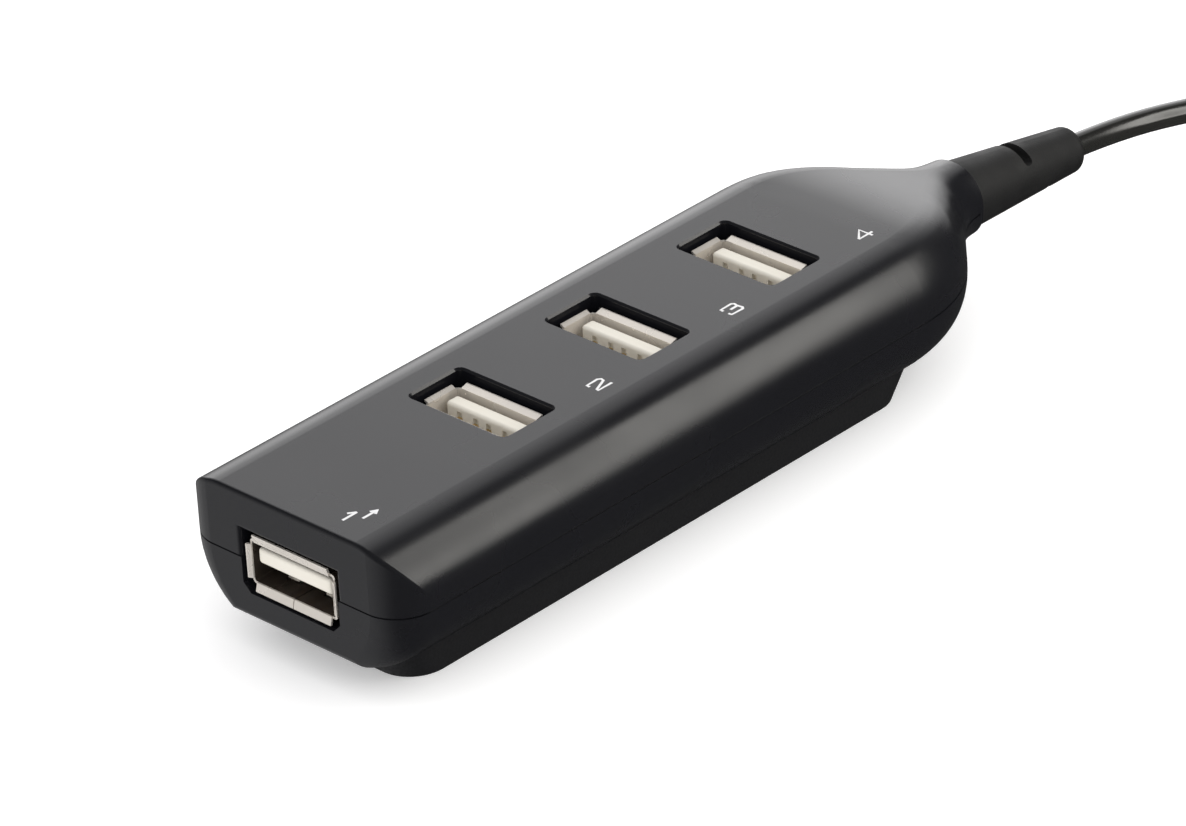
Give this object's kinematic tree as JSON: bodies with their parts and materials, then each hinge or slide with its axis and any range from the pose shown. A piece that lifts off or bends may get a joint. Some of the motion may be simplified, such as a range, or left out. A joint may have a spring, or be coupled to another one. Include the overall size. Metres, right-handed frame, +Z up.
{
  "type": "usb_hub",
  "caption": "Black plastic USB hub shaped like a small power strip: one port in the front end, three upright ports in the top, and a thin black cable with a plug",
  "frame": {"origin": "on the standing surface, on the centre line, 55.8 mm behind the front end", "axes": "+Y along the case from the front port to the cable, +X across it, +Z up out of the top face"},
  "size_m": [0.0479, 0.2348, 0.0204],
  "materials": {
    "case_black": "moulded black plastic, smooth satin gloss on the case, fine matte grain on the plinth",
    "board_green": "green solder mask over glass-fibre board",
    "screw_steel": "zinc-plated steel",
    "chip_black": "dull black moulding compound",
    "tin": "bright tin",
    "can_sleeve": "shrunk dark sleeve",
    "ceramic_tan": "fired ceramic",
    "wire_red": "coloured wire insulation",
    "wire_white": "coloured wire insulation",
    "wire_green": "coloured wire insulation",
    "wire_black": "coloured wire insulation",
    "boot_rubber": "matte moulded rubber",
    "cable_jacket": "smooth soft vinyl jacket",
    "tie_black": "soft plastic band",
    "plug_black": "moulded plug grip with a satin surface",
    "socket_nickel": "nickel-plated sheet",
    "insulator_ivory": "ivory moulded insulator",
    "contact_gold": "gold-flashed contact strip"
  },
  "bodies": {
    "root": {"board_screws": "screw_steel", "cable": "cable_jacket", "cable_coil": "cable_jacket", "cable_end_at_plug": "cable_jacket", "cable_in_boot": "cable_jacket", "cable_in_plug": "cable_jacket", "ceramic_capacitors": "ceramic_tan", "circuit_board": "board_green", "coil_tie": "tie_black", "crystal": "tin", "electrolytic_capacitor": "can_sleeve", "hub_controller_chip": "chip_black", "hub_controller_leads": "tin", "lower_case": "case_black", "plug_contacts": "contact_gold", "plug_grip": "plug_black", "plug_insulator": "insulator_ivory", "plug_shell": "socket_nickel", "port_1_contacts": "contact_gold", "port_1_insulator": "insulator_ivory", "port_1_socket_shell": "socket_nickel", "port_2_contacts": "contact_gold", "port_2_insulator": "insulator_ivory", "port_2_socket_shell": "socket_nickel", "port_3_contacts": "contact_gold", "port_3_insulator": "insulator_ivory", "port_3_socket_shell": "socket_nickel", "port_4_contacts": "contact_gold", "port_4_insulator": "insulator_ivory", "port_4_socket_shell": "socket_nickel", "resistors": "chip_black", "solder_joints": "tin", "strain_relief": "boot_rubber", "upper_case": "case_black", "wire_black": "wire_black", "wire_green": "wire_green", "wire_red": "wire_red", "wire_white": "wire_white"}
  },
  "joints": []
}
